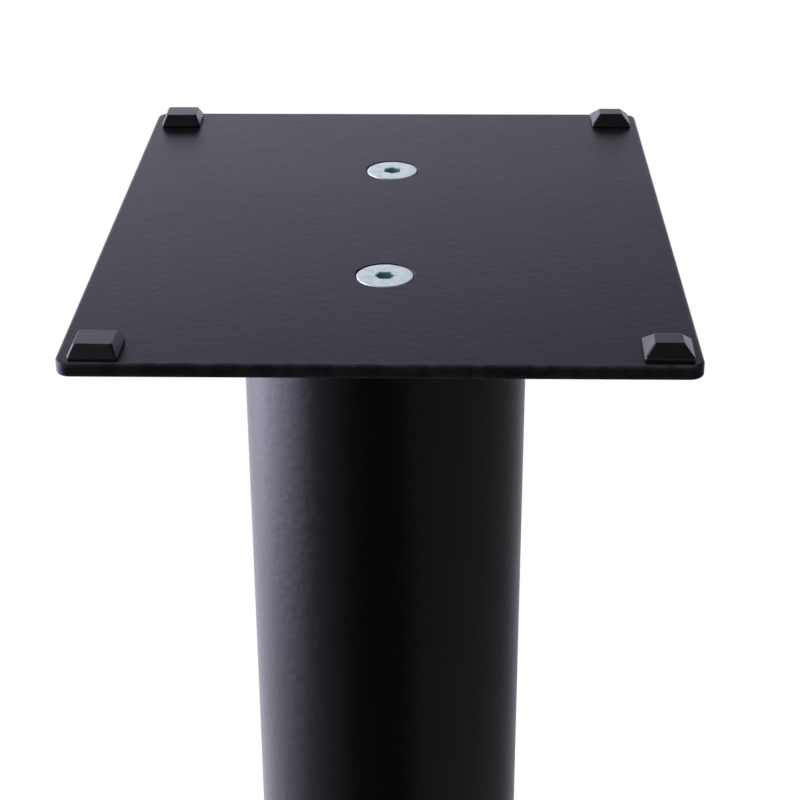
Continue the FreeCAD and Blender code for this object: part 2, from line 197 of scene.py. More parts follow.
class Graph:
    """The nodes of one material or of the world."""

    def __init__(self, tree: bpy.types.NodeTree) -> None:
        """Start with an empty tree."""
        self.tree = tree
        tree.nodes.clear()

    def node(
        self,
        kind: str,
        settings: dict[str, Any] | None = None,
        sockets: dict[str | int, Feed] | None = None,
    ) -> bpy.types.Node:
        """Add one node.

        Args:
            kind: The node's type.
            settings: Its properties, set before its sockets. "stops" holds a ramp's stops.
            sockets: Values, or links from signals, sockets and nodes, by input name or number.

        Returns:
            The new node.
        """
        node = self.tree.nodes.new(kind)
        for name, setting in (settings or {}).items():
            if name == "stops":
                self._set_stops(node.color_ramp, setting)
            else:
                setattr(node, name, setting)
        for name, feed in (sockets or {}).items():
            self._feed(node.inputs[name], feed)
        return node

    def _set_stops(self, ramp: bpy.types.ColorRamp, stops: list[tuple[float, Colour]]) -> None:
        """Give a ramp its stops.

        Args:
            ramp: The ramp.
            stops: Each stop's place, from 0 to 1, and its colour.
        """
        while len(ramp.elements) < len(stops):
            ramp.elements.new(1.0)
        for element, (place, colour) in zip(ramp.elements, stops):
            element.position = place
            element.color = (*colour, 1.0)

    def _feed(self, entry: bpy.types.NodeSocket, feed: Feed) -> None:
        """Link a socket to an input, or set the input's own value.

        Args:
            entry: The input.
            feed: A value, or a link from a signal, a socket or a node.
        """
        if isinstance(feed, Signal):
            self.tree.links.new(feed.socket, entry)
        elif isinstance(feed, bpy.types.NodeSocket):
            self.tree.links.new(feed, entry)
        elif isinstance(feed, bpy.types.Node):
            self.tree.links.new(feed.outputs[0], entry)
        elif isinstance(feed, tuple) and entry.type == "RGBA":
            entry.default_value = (*feed, 1.0)
        else:
            entry.default_value = feed

    def maths(self, operation: str, *values: "Signal | float") -> Signal:
        """Add a maths node.

        Args:
            operation: The node's operation.
            values: Its one or two operands.

        Returns:
            The result.
        """
        node = self.node("ShaderNodeMath", {"operation": operation}, dict(enumerate(values)))
        return Signal(self, node.outputs[0])

    def place(
        self, centre: Vector | None = None, stretch: Colour = (1.0, 1.0, 1.0)
    ) -> bpy.types.NodeSocket:
        """Give the place on the piece, in metres.

        Args:
            centre: The point to measure from, where it isn't the piece's origin.
            stretch: How much each axis is scaled, to draw a pattern out.

        Returns:
            A vector output.
        """
        place = self.node("ShaderNodeTexCoord").outputs["Object"]
        shift = tuple(-part * scale for part, scale in zip(centre or Vector(), stretch))
        sockets = {"Vector": place, "Location": shift, "Scale": stretch}
        mapping = self.node("ShaderNodeMapping", None, sockets)
        return mapping.outputs["Vector"]

    def parts(self, vector: bpy.types.NodeSocket) -> tuple[Signal, Signal, Signal]:
        """Split a vector.

        Args:
            vector: A vector output.

        Returns:
            Its X, Y and Z.
        """
        split = self.node("ShaderNodeSeparateXYZ", None, {"Vector": vector})
        x, y, z = (Signal(self, output) for output in split.outputs)
        return x, y, z

    def noise(self, vector: bpy.types.NodeSocket, size: float, detail: float = 2.0) -> Signal:
        """Make cloudy noise about a middle of 0.5.

        Args:
            vector: Where it is read, in metres.
            size: Width of its blotches, in metres.
            detail: How many finer layers it has.

        Returns:
            A signal that stays between 0 and 1.
        """
        sockets = {"Vector": vector, "Scale": 1.0 / size, "Detail": detail}
        node = self.node("ShaderNodeTexNoise", None, sockets)
        return Signal(self, node.outputs[0])

    def specks(self, vector: bpy.types.NodeSocket, spacing: float, size: float, share: float) -> Signal:
        """Scatter small round specks.

        Args:
            vector: Where they are read, in metres.
            spacing: Width of the cell that may hold one, in metres.
            size: Diameter of a speck, in metres.
            share: Share of the cells that hold one.

        Returns:
            1 in a speck and 0 elsewhere.
        """
        cells = self.node("ShaderNodeTexVoronoi", None, {"Vector": vector, "Scale": 1.0 / spacing})
        radius = size / spacing / 2.0
        inside = Signal(self, cells.outputs["Distance"]).rise(radius, radius * 0.5)
        luck, _, _ = self.parts(cells.outputs["Color"])
        return inside * luck.rise(1.0 - share, 1.0 - share * 0.8)

    def blend(self, factor: Signal, first: Feed, second: Feed) -> bpy.types.NodeSocket:
        """Mix two colours.

        Args:
            factor: 0 for the first colour and 1 for the second.
            first: A colour or a link to one.
            second: A colour or a link to one.

        Returns:
            A colour output.
        """
        node = self.node("ShaderNodeMix", {"data_type": "RGBA"}, {0: factor, 6: first, 7: second})
        return node.outputs[2]

    def bump(self, height: Signal, depth: float, strength: float = 1.0) -> bpy.types.Node:
        """Turn a height from 0 to 1 into a relief of the given depth in metres."""
        sockets = {"Height": height, "Distance": depth, "Strength": strength}
        return self.node("ShaderNodeBump", None, sockets)

    def finish(self, shader: bpy.types.Node, kind: str = "ShaderNodeOutputMaterial") -> None:
        """Send a shader to the output."""
        self.node(kind, None, {"Surface": shader})


# Finishes


@dataclass(frozen=True)
class Finish:
    """One real finish, which makes a material for a piece."""

    slot: Slot
    colour: Colour

    def dress(self, piece: bpy.types.Object) -> None:
        """Give a piece its own material in this finish.

        Args:
            piece: The piece, whose object sits at the origin.
        """
        material = bpy.data.materials.new(f"{self.slot.value}_{piece.name}")
        material.use_nodes = True
        material.diffuse_color = (*self.colour, 1.0)
        low, high = corners_of(piece)
        graph = Graph(material.node_tree)
        graph.finish(self.shade(graph, low, high))
        piece.data.materials.clear()
        piece.data.materials.append(material)

    def shade(self, graph: Graph, low: Vector, high: Vector) -> bpy.types.Node:
        """Build the shader.

        Args:
            graph: The material's nodes.
            low: The piece's lowest corner.
            high: The piece's highest corner.

        Returns:
            The shader node.
        """
        raise NotImplementedError


@dataclass(frozen=True)
class PowderCoat(Finish):
    """Satin black powder coat with a faint orange peel, clouds, a violet cast in its sheen and a painted
    highlight along its edges.
    """

    slot: Slot = Slot.POWDER_COAT
    colour: Colour = (0.0032, 0.0028, 0.0034)
    cloudy_colour: Colour = (0.0052, 0.0046, 0.0054)
    # Lighter colour of rubbed edges and thin sides, which also paints the highlight along the box's edges.
    wear_and_highlight_colour: Colour = (0.058, 0.056, 0.060)
    dust_colour: Colour = (0.16, 0.15, 0.15)
    sheen_tint: Colour = (0.55, 0.38, 1.0)
    gloss: float = 0.30
    roughness: float = 0.26
    relief: float = 0.046 * MM
    edge_width: float = 1.3 * MM
    thinness: float = 0.5

    def shade(self, graph: Graph, low: Vector, high: Vector) -> bpy.types.Node:
        """Build the shader.

        Args:
            graph: The material's nodes.
            low: The piece's lowest corner.
            high: The piece's highest corner.

        Returns:
            The shader node.
        """
        place = graph.place()
        drift = graph.noise(place, 60 * MM)
        mottle = graph.noise(place, 3.4 * MM, 3.0)
        peel = graph.noise(place, 2.8 * MM, 1.0)
        grit = graph.noise(place, 0.42 * MM, 1.0)
        edge_wear_and_highlight = self.edges(graph, low, high) * (0.60 + 0.40 * mottle.rise(0.40, 0.62))
        dust = graph.specks(place, 7 * MM, 0.35 * MM, 0.25)
        colour = graph.blend(mottle.rise(0.30, 0.70), self.colour, self.cloudy_colour)
        # Painted highlight along the box's edges, together with rubbed wear there; the thin sides are
        # lighter where the coat lies thin.
        colour = graph.blend(edge_wear_and_highlight * 0.75, colour, self.wear_and_highlight_colour)
        colour = graph.blend(dust * 0.5, colour, self.dust_colour)
        return graph.node(
            "ShaderNodeBsdfPrincipled",
            None,
            {
                "Base Color": colour,
                "Roughness": self.roughness + 0.05 * drift + 0.08 * mottle + 0.05 * grit - 0.06 * edge_wear_and_highlight,
                "IOR": 1.5,
                "Specular IOR Level": self.gloss,
                "Specular Tint": self.sheen_tint,
                "Normal": graph.bump(peel * 0.88 + grit * 0.12, self.relief),
            },
        )

    def edges(self, graph: Graph, low: Vector, high: Vector) -> Signal:
        """Mark the box's own edges, where hands rub the coat and a highlight is painted, and its thin
        sides, where it lies thin.

        Args:
            graph: The material's nodes.
            low: The piece's lowest corner.
            high: The piece's highest corner.

        Returns:
            1 on an edge or a side, and 0 away from them.
        """
        half = (high - low) / 2
        parts = [abs(part) for part in graph.parts(graph.place((low + high) / 2))]
        x, y, z = (part.rise(reach - self.edge_width, reach) for part, reach in zip(parts, half))
        thin = parts[2].rise(half.z - 0.1 * MM, half.z - 0.5 * MM)
        return (x * y + y * z + z * x + self.thinness * thin).at_most(1.0)


@dataclass(frozen=True)
class TubeCoat(PowderCoat):
    """The same coat on a round tube, glossier, and rubbed only where the tube meets the plates."""

    colour: Colour = (0.0018, 0.0017, 0.0020)
    cloudy_colour: Colour = (0.0028, 0.0026, 0.0030)
    sheen_tint: Colour = (0.87, 0.79, 1.0)
    gloss: float = 0.5
    roughness: float = 0.23
    relief: float = 0.075 * MM

    def edges(self, graph: Graph, low: Vector, high: Vector) -> Signal:
        """Mark both rims of the tube.

        Args:
            graph: The material's nodes.
            low: The piece's lowest corner.
            high: The piece's highest corner.

        Returns:
            1 on a rim, and 0 away from them.
        """
        _, _, z = graph.parts(graph.place((low + high) / 2))
        reach = (high.z - low.z) / 2
        return abs(z).rise(reach - self.edge_width, reach)


@dataclass(frozen=True)
class BareSteel(Finish):
    """Drawn steel bar, streaked along X and tinted by the weld at its ends."""

    slot: Slot = Slot.BARE_STEEL
    colour: Colour = (0.36, 0.35, 0.34)

    def shade(self, graph: Graph, low: Vector, high: Vector) -> bpy.types.Node:
        """Build the shader.

        Args:
            graph: The material's nodes.
            low: The piece's lowest corner.
            high: The piece's highest corner.

        Returns:
            The shader node.
        """
        middle = (low + high) / 2
        streaks = graph.noise(graph.place(stretch=(0.06, 1.0, 1.0)), 0.6 * MM, 3.0)
        stain = graph.noise(graph.place(), 9 * MM, 4.0)
        x, _, _ = graph.parts(graph.place(middle))
        reach = (high.x - low.x) / 2
        from_weld = (reach - abs(x)) / (14 * MM) + 0.35 * (stain - 0.5)
        heat = graph.node(
            "ShaderNodeValToRGB",
            {
                "stops": [
                    (0.0, (0.05, 0.05, 0.055)),
                    (0.22, (0.13, 0.15, 0.26)),
                    (0.42, (0.30, 0.18, 0.20)),
                    (0.62, (0.42, 0.33, 0.19)),
                    (1.0, self.colour),
                ]
            },
            {"Fac": from_weld},
        )
        colour = graph.blend(streaks.rise(0.35, 0.7) * 0.35, heat, (0.22, 0.21, 0.2))
        return graph.node(
            "ShaderNodeBsdfPrincipled",
            None,
            {
                "Base Color": colour,
                "Metallic": 1.0,
                "Roughness": 0.36 + 0.14 * streaks + 0.1 * stain,
                "Normal": graph.bump(streaks, 0.01 * MM),
            },
        )


@dataclass(frozen=True)
class ZincPlate(Finish):
    """Blue-white zinc over turned steel, with a pale matt film on it, faint rings on the head and painted
    shade in its key socket.
    """

    slot: Slot = Slot.ZINC_PLATE
    colour: Colour = (0.90, 0.98, 1.0)
    hazy_colour: Colour = (0.68, 0.86, 0.96)
    film: float = 0.24
    # Colour of the painted shade in the key socket.
    grime_and_shade_colour: Colour = (0.26, 0.42, 0.48)
    painted_shade_radius: float = 2.95 * MM
    ring_pitch: float = 0.35 * MM

    def shade(self, graph: Graph, low: Vector, high: Vector) -> bpy.types.Node:
        """Build the shader.

        Args:
            graph: The material's nodes.
            low: The piece's lowest corner.
            high: The piece's highest corner.

        Returns:
            The shader node.
        """
        place = graph.place((low + high) / 2)
        haze = graph.noise(place, 2.6 * MM, 3.0)
        grain = graph.noise(place, 0.5 * MM, 2.0)
        x, y, z = graph.parts(place)
        radius = (x * x + y * y).root()
        rings = (radius * (2 * math.pi / self.ring_pitch) + 3.0 * haze).sine()
        reach = (high.z - low.z) / 2
        deep = abs(z).rise(reach - 0.12 * MM, reach - 0.7 * MM)
        # Painted shade: inside the key socket the zinc's colour is darkened, and the socket is also
        # rougher there.
        sunk = deep * radius.rise(self.painted_shade_radius + 0.1 * MM, self.painted_shade_radius)
        patches = haze.rise(0.42, 0.62) * (0.55 + 0.45 * grain)
        colour = graph.blend(patches, self.colour, self.hazy_colour)
        colour = graph.blend(sunk * 0.92, colour, self.grime_and_shade_colour)
        return graph.node(
            "ShaderNodeBsdfPrincipled",
            None,
            {
                "Base Color": colour,
                "Metallic": 1.0 - self.film,
                "Roughness": 0.38 + 0.10 * patches + 0.06 * grain + 0.20 * sunk,
                "Normal": graph.bump(0.5 + 0.08 * rings + 0.5 * grain, 0.008 * MM),
            },
        )


@dataclass(frozen=True)
class SpikeSteel(Finish):
    """Nickel-plated turned steel, dulled in the roots of its thread."""

    slot: Slot = Slot.SPIKE_STEEL
    colour: Colour = (0.60, 0.58, 0.54)
    grime_and_shade_colour: Colour = (0.24, 0.22, 0.20)
    root_radius: float = 3.35 * MM
    crest_radius: float = 3.95 * MM

    def shade(self, graph: Graph, low: Vector, high: Vector) -> bpy.types.Node:
        """Build the shader.

        Args:
            graph: The material's nodes.
            low: The piece's lowest corner.
            high: The piece's highest corner.

        Returns:
            The shader node.
        """
        middle = (low + high) / 2
        lathe = graph.noise(graph.place(stretch=(0.05, 0.05, 1.0)), 0.12 * MM, 2.0)
        haze = graph.noise(graph.place(), 4 * MM, 3.0)
        x, y, _ = graph.parts(graph.place(middle))
        depth = (x * x + y * y).root().rise(self.crest_radius, self.root_radius)
        colour = graph.blend(haze.rise(0.35, 0.75) * 0.25, self.colour, self.grime_and_shade_colour)
        colour = graph.blend(depth * (0.25 + 0.4 * haze), colour, self.grime_and_shade_colour)
        return graph.node(
            "ShaderNodeBsdfPrincipled",
            None,
            {
                "Base Color": colour,
                "Metallic": 1.0,
                "Roughness": 0.20 + 0.14 * haze + 0.10 * lathe,
                "Normal": graph.bump(lathe, 0.006 * MM),
            },
        )


@dataclass(frozen=True)
class PadRubber(Finish):
    """Satin moulded rubber with a fine matt grain and a little lint on it."""

    slot: Slot = Slot.PAD_RUBBER
    colour: Colour = (0.0015, 0.0012, 0.0015)
    lint_colour: Colour = (0.12, 0.12, 0.12)
    sheen_tint: Colour = (0.92, 0.86, 1.0)
    gloss: float = 1.0

    def shade(self, graph: Graph, low: Vector, high: Vector) -> bpy.types.Node:
        """Build the shader.

        Args:
            graph: The material's nodes.
            low: The piece's lowest corner.
            high: The piece's highest corner.

        Returns:
            The shader node.
        """
        place = graph.place((low + high) / 2)
        bloom = graph.noise(place, 6 * MM, 3.0)
        grain = graph.noise(place, 0.3 * MM, 2.0)
        lint = graph.specks(place, 3 * MM, 0.25 * MM, 0.3)
        colour = graph.blend(bloom.rise(0.3, 0.7), self.colour, tuple(part * 1.5 for part in self.colour))
        colour = graph.blend(lint * 0.6, colour, self.lint_colour)
        return graph.node(
            "ShaderNodeBsdfPrincipled",
            None,
            {
                "Base Color": colour,
                "Roughness": 0.30 + 0.10 * bloom + 0.05 * grain,
                "IOR": 1.58,
                "Specular IOR Level": self.gloss,
                "Specular Tint": self.sheen_tint,
                "Normal": graph.bump(grain, 0.010 * MM),
            },
        )


# Modelling


def corners_of(piece: bpy.types.Object) -> tuple[Vector, Vector]:
    """Find the box of a piece whose object sits at the origin.

    Args:
        piece: The piece.

    Returns:
        Its lowest and highest corner.
    """
    places = [Vector(corner) for corner in piece.bound_box]
    low = Vector(min(place[axis] for place in places) for axis in range(3))
    high = Vector(max(place[axis] for place in places) for axis in range(3))
    return low, high


class Bench:
    """The modelling steps that the pieces share."""

    @staticmethod
    def take(*pieces: bpy.types.Object) -> None:
        """Select these pieces alone, and make the first one active.

        Args:
            pieces: The pieces.
        """
        bpy.ops.object.select_all(action="DESELECT")
        for piece in pieces:
            piece.select_set(True)
        bpy.context.view_layer.objects.active = pieces[0]

    @staticmethod
    def cylinder(name: str, sides: int, radius: float, low: float, high: float) -> bpy.types.Object:
        """Add an upright cylinder on the Z axis.

        Args:
            name: The piece's name.
            sides: Number of its sides.
            radius: Radius to its corners.
            low: Height of its lower end.
            high: Height of its upper end.

        Returns:
            The new piece.
        """
        bpy.ops.object.select_all(action="DESELECT")
        bpy.ops.mesh.primitive_cylinder_add(
            vertices=sides, radius=radius, depth=high - low, location=(0, 0, (low + high) / 2)
        )
        return Bench.named(name)

    @staticmethod
    def named(name: str) -> bpy.types.Object:
        """Name the new primitive and settle it, so that its place is in its mesh.

        Args:
            name: Its name.

        Returns:
            The piece.
        """
        piece = bpy.context.active_object
        piece.name = name
        piece.data.name = name
        Bench.settle(piece)
        return piece

    @staticmethod
    def settle(piece: bpy.types.Object) -> None:
        """Move the piece's place, turn and scale into its mesh."""
        Bench.take(piece)
        bpy.ops.object.transform_apply(location=True, rotation=True, scale=True)

    @staticmethod
    @contextmanager
    def editing(piece: bpy.types.Object) -> Iterator[None]:
        """Hold a piece in edit mode.

        Args:
            piece: The piece.

        Yields:
            Nothing, while it is in edit mode.
        """
        Bench.take(piece)
        bpy.ops.object.mode_set(mode="EDIT")
        try:
            yield
        finally:
            bpy.ops.object.mode_set(mode="OBJECT")

    @staticmethod
    def pick(piece: bpy.types.Object, element: Element, test: Test) -> None:
        """Select only the elements that pass a test, in edit mode.

        Args:
            piece: The piece in edit mode.
            element: Which kind of element is selected.
            test: Says whether an element is wanted.

        Raises:
            ValueError: If none is.
        """
        mode, kind = element.value
        bpy.ops.mesh.select_mode(type=mode)
        bpy.ops.mesh.select_all(action="DESELECT")
        mesh = bmesh.from_edit_mesh(piece.data)
        wanted = [item for item in getattr(mesh, kind) if test(item)]
        if not wanted:
            raise ValueError(f"{piece.name}: nothing to select")
        for item in wanted:
            item.select_set(True)
        bmesh.update_edit_mesh(piece.data)

    @staticmethod
    def lift(length: float) -> None:
        """Extrude the selected face along Z."""
        bpy.ops.mesh.extrude_region_move(TRANSFORM_OT_translate={"value": (0, 0, length)})

    @staticmethod
    def narrow(x: float, y: float, centre: tuple[float, float, float]) -> None:
        """Scale the selection in X and Y about a centre."""
        bpy.ops.transform.resize(value=(x, y, 1.0), center_override=centre)

    @staticmethod
    def draw_out(piece: bpy.types.Object, stations: list[tuple[float, float]]) -> None:
        """Extrude a turned piece's end face through rings, each a height and a radius.

        Args:
            piece: A piece on the Z axis whose first station is its present end.
            stations: Its present end, and then each ring in turn.
        """
        (height, radius), *following = stations
        upward = following[0][0] > height
        with Bench.editing(piece):
            Bench.pick(piece, Element.FACE, faces_at(height, upward))
            for next_height, next_radius in following:
                Bench.lift(next_height - height)
                Bench.narrow(next_radius / radius, next_radius / radius, (0, 0, next_height))
                height, radius = next_height, next_radius

    @staticmethod
    def combine(piece: bpy.types.Object, other: bpy.types.Object, operation: str) -> None:
        """Cut, join or intersect a piece with another one, which is used up.

        Args:
            piece: The piece that stays.
            other: The piece that is used up.
            operation: DIFFERENCE, UNION or INTERSECT.
        """
        modifier = piece.modifiers.new(operation.lower(), "BOOLEAN")
        modifier.operation = operation
        modifier.solver = "EXACT"
        modifier.object = other
        Bench.apply(piece, modifier)
        bpy.data.objects.remove(other)

    @staticmethod
    def soften(piece: bpy.types.Object, width: float, segments: int, angle: float) -> None:
        """Round every edge that is sharper than an angle.

        Args:
            piece: The piece.
            width: Width of the rounding, in metres.
            segments: Number of its facets.
            angle: The angle, in degrees.
        """
        modifier = piece.modifiers.new("soften", "BEVEL")
        modifier.width = width
        modifier.segments = segments
        modifier.limit_method = "ANGLE"
        modifier.angle_limit = math.radians(angle)
        modifier.use_clamp_overlap = False
        Bench.apply(piece, modifier)

    @staticmethod
    def apply(piece: bpy.types.Object, modifier: bpy.types.Modifier) -> None:
        """Apply a modifier to the piece's mesh."""
        Bench.take(piece)
        bpy.ops.object.modifier_apply(modifier=modifier.name)

    @staticmethod
    def smooth(piece: bpy.types.Object, angle: float = 35.0) -> None:
        """Shade smooth but keep sharp edges, and let the large faces stay flat up to their roundings.

        Args:
            piece: The piece.
            angle: The angle, in degrees, above which an edge stays sharp.
        """
        Bench.take(piece)
        bpy.ops.object.shade_smooth_by_angle(angle=math.radians(angle))
        modifier = piece.modifiers.new("flatten", "WEIGHTED_NORMAL")
        modifier.keep_sharp = True
        Bench.apply(piece, modifier)

    @staticmethod
    def mend(piece: bpy.types.Object) -> None:
        """Merge doubled points and turn all the faces outward.

        Args:
            piece: The piece.
        """
        with Bench.editing(piece):
            bpy.ops.mesh.select_all(action="SELECT")
            bpy.ops.mesh.remove_doubles(threshold=MERGE_DISTANCE)
            bpy.ops.mesh.normals_make_consistent(inside=False)

    @staticmethod
    def copy(pattern: bpy.types.Object, name: str, place: Matrix) -> bpy.types.Object:
        """Copy a pattern with a mesh of its own, set in its place.

        Args:
            pattern: The piece to copy.
            name: The copy's name.
            place: Where the pattern's origin goes.

        Returns:
            The copy, settled.
        """
        piece = pattern.copy()
        piece.data = pattern.data.copy()
        piece.name = name
        piece.data.name = name
        bpy.context.scene.collection.objects.link(piece)
        piece.matrix_world = place
        Bench.settle(piece)
        return piece

    @staticmethod
    def drop(pattern: bpy.types.Object) -> None:
        """Take a pattern away once its copies are made."""
        bpy.data.objects.remove(pattern)


def faces_at(height: float, upward: bool) -> Test:
    """Make a test for the level faces at one height.

    Args:
        height: The height.
        upward: Whether they face up, or else down.

    Returns:
        The test.
    """

    def test(face: bmesh.types.BMFace) -> bool:
        """Whether a face is one of them."""
        facing = face.normal.z if upward else -face.normal.z
        return facing > 0.9 and abs(face.calc_center_median().z - height) < LEVEL_TOLERANCE

    return test


def standing_edges(edge: bmesh.types.BMEdge) -> bool:
    """Whether an edge rises, whatever its slope."""
    low, high = (corner.co.z for corner in edge.verts)
    return abs(high - low) > 0.05 * MM


def rim_at(height: float, radius: float) -> Test:
    """Make a test for the edges of a level ring about the Z axis.

    Args:
        height: The ring's height.
        radius: The ring's radius.

    Returns:
        The test.
    """

    def test(edge: bmesh.types.BMEdge) -> bool:
        """Whether an edge is one of them."""
        return all(
            abs(corner.co.z - height) < LEVEL_TOLERANCE
            and abs(corner.co.xy.length - radius) < RING_TOLERANCE
            for corner in edge.verts
        )

    return test


@dataclass(frozen=True)
class Thread:
    """The standard coarse thread of the screws and spikes: 8 mm, 1.25 mm a turn, right-handed.

    Attributes:
        crest: Radius over its crests.
        root: Radius in its roots.
        pitch: Rise of one turn.
        steps: Number of facets to a turn.
        step_offset: Share of a facet's rise that keeps its points off the planes of the end cuts.
    """

    crest: float = 4.0 * MM
    root: float = 3.35 * MM
    pitch: float = 1.25 * MM
    steps: int = 40
    step_offset: float = 0.3

    def rod(self, low: float, high: float) -> bpy.types.Object:
        """Make a threaded rod on the Z axis.

        Args:
            low: Height of its lower end.
            high: Height of its upper end.

        Returns:
            The rod, closed at both ends.
        """
        start = low - self.pitch / 2 - self.step_offset * self.pitch / self.steps
        bpy.ops.object.select_all(action="DESELECT")
        bpy.ops.mesh.primitive_plane_add(
            size=self.pitch,
            location=(self.root + self.pitch / 2, 0, start),
            rotation=(math.pi / 2, 0, 0),
        )
        rod = Bench.named("rod")
        with Bench.editing(rod):
            Bench.pick(rod, Element.VERTEX, lambda corner: corner.co.x > self.root + self.pitch / 2)
            bpy.ops.mesh.delete(type="VERT")
            bpy.ops.mesh.select_all(action="SELECT")
            bpy.ops.mesh.subdivide(number_cuts=3)
            crest_height = start + self.pitch / 8
            Bench.pick(
                rod, Element.VERTEX, lambda corner: abs(corner.co.z - crest_height) < 0.2 * self.pitch
            )
            bpy.ops.transform.translate(value=(self.crest - self.root, 0, 0))
            bpy.ops.transform.resize(value=(1, 1, 0.5), center_override=(self.crest, 0, crest_height))
        screw = rod.modifiers.new("thread", "SCREW")
        screw.angle = 2 * math.pi
        screw.screw_offset = self.pitch
        screw.iterations = math.ceil((high - low) / self.pitch) + 2
        screw.steps = self.steps
        screw.render_steps = self.steps
        Bench.apply(rod, screw)
        Bench.mend(rod)
        with Bench.editing(rod):
            for height, facing in ((low, -1), (high, 1)):
                bpy.ops.mesh.select_all(action="SELECT")
                bpy.ops.mesh.bisect(
                    plane_co=(0, 0, height),
                    plane_no=(0, 0, facing),
                    use_fill=True,
                    clear_outer=True,
                    threshold=CUT_TOLERANCE,
                )
        Bench.mend(rod)
        return rod


@dataclass(frozen=True)
class KeySocket:
    """A broached hexagonal key socket with a drilled bottom and a countersunk mouth."""

    flats: float
    depth: float
    drill_angle: float = math.radians(118)
    mouth: float = 0.06 * MM
    overrun: float = 1.0 * MM

    def sink(self, piece: bpy.types.Object, face: float) -> None:
        """Cut the socket into a piece's upper end.

        Args:
            piece: A piece on the Z axis.
            face: Height of its upper face.
        """
        corner = self.flats / math.sqrt(3)
        bottom = face - self.depth
        point = bottom - self.flats / 2 / math.tan(self.drill_angle / 2)
        hexagon = Bench.cylinder("socket", 6, corner, bottom, face + self.overrun)
        Bench.combine(piece, hexagon, "DIFFERENCE")
        drill = Bench.cylinder("drill", 48, self.flats / 2 * 0.98, bottom - 0.01 * MM, bottom + 0.4 * MM)
        Bench.draw_out(drill, [(bottom - 0.01 * MM, self.flats / 2 * 0.98), (point, 0.08 * MM)])
        Bench.combine(piece, drill, "DIFFERENCE")
        wide = self.flats / 2 + self.mouth + self.overrun
        countersink = Bench.cylinder("mouth", 48, wide, face + self.overrun, face + 2 * self.overrun)
        end = 0.5 * MM
        Bench.draw_out(countersink, [(face + self.overrun, wide), (face + self.overrun + end - wide, end)])
        Bench.combine(piece, countersink, "DIFFERENCE")


@dataclass(frozen=True)
class CountersunkScrew:
    """A countersunk socket screw, modelled with its head face at the origin and its end down."""

    length: float
    thread: Thread = Thread()
    socket: KeySocket = KeySocket(flats=5.0 * MM, depth=3.0 * MM)
    head_radius: float = 8.0 * MM
    head_land: float = 0.6 * MM
    rim_round: float = 0.4 * MM
    neck_radius: float = 3.6 * MM
    neck_length: float = 0.9 * MM
    end_chamfer: float = 0.8 * MM
    clearance: float = 0.1 * MM
    sides: int = 96

    def model(self) -> bpy.types.Object:
        """Make the screw.

        Returns:
            The finished mesh's object, at the origin.
        """
        cone_end = -self.head_land - (self.head_radius - self.thread.crest)
        neck_end = cone_end - self.neck_length
        screw = Bench.cylinder("screw", self.sides, self.head_radius, -self.head_land, 0)
        Bench.draw_out(
            screw,
            [
                (-self.head_land, self.head_radius),
                (cone_end, self.thread.crest),
                (cone_end - 0.1 * MM, self.neck_radius),
                (neck_end - 0.3 * MM, self.neck_radius),
            ],
        )
        with Bench.editing(screw):
            Bench.pick(screw, Element.EDGE, rim_at(0, self.head_radius))
            bpy.ops.mesh.bevel(offset=self.rim_round, segments=3, affect="EDGES")
        shank = self.thread.rod(-self.length - 1 * MM, neck_end + 1 * MM)
        Bench.combine(shank, self.envelope(neck_end), "INTERSECT")
        Bench.combine(screw, shank, "UNION")
        self.socket.sink(screw, 0)
        Bench.mend(screw)
        Bench.smooth(screw)
        return screw

    def envelope(self, neck_end: float) -> bpy.types.Object:
        """Make the plain turned blank that the thread is cut on, chamfered at both ends.

        Args:
            neck_end: Height of the neck's lower end.

        Returns:
            The blank, a little wider than the thread, so that their faces don't meet.
        """
        inner = self.thread.crest - self.end_chamfer
        rise = self.end_chamfer + self.clearance
        start = -self.length + 0.1 * MM
        blank = Bench.cylinder("blank", 64, inner, -self.length, start)
        Bench.draw_out(
            blank,
            [
                (start, inner),
                (start + rise, inner + rise),
                (neck_end - rise, inner + rise),
                (neck_end, inner),
            ],
        )
        return blank


@dataclass(frozen=True)
class FloorSpike:
    """A threaded floor spike, point down at the origin."""

    length: float = 44.0 * MM
    cone_length: float = 14.0 * MM
    tip_radius: float = 0.6 * MM
    end_chamfer: float = 0.8 * MM
    clearance: float = 0.1 * MM
    thread: Thread = Thread()
    socket: KeySocket = KeySocket(flats=4.0 * MM, depth=4.6 * MM)

    def model(self) -> bpy.types.Object:
        """Make the spike.

        Returns:
            The finished mesh's object, at the origin.
        """
        crest = self.thread.crest
        wide = crest + self.clearance
        slope = self.cone_length / (crest - self.tip_radius)
        spike = Bench.cylinder("spike", 72, self.tip_radius, 0, 0.05 * MM)
        Bench.draw_out(
            spike,
            [
                (0.05 * MM, self.tip_radius),
                (self.cone_length + self.clearance * slope, wide),
                (self.length - self.end_chamfer - self.clearance, wide),
                (self.length, crest - self.end_chamfer),
            ],
        )
        rod = self.thread.rod(self.cone_length * 0.5, self.length + 1 * MM)
        point = Bench.cylinder("point", 72, crest, -1 * MM, self.cone_length * 0.5 + 1 * MM)
        Bench.combine(rod, point, "UNION")
        Bench.combine(spike, rod, "INTERSECT")
        self.socket.sink(spike, self.length)
        Bench.mend(spike)
        Bench.smooth(spike)
        return spike


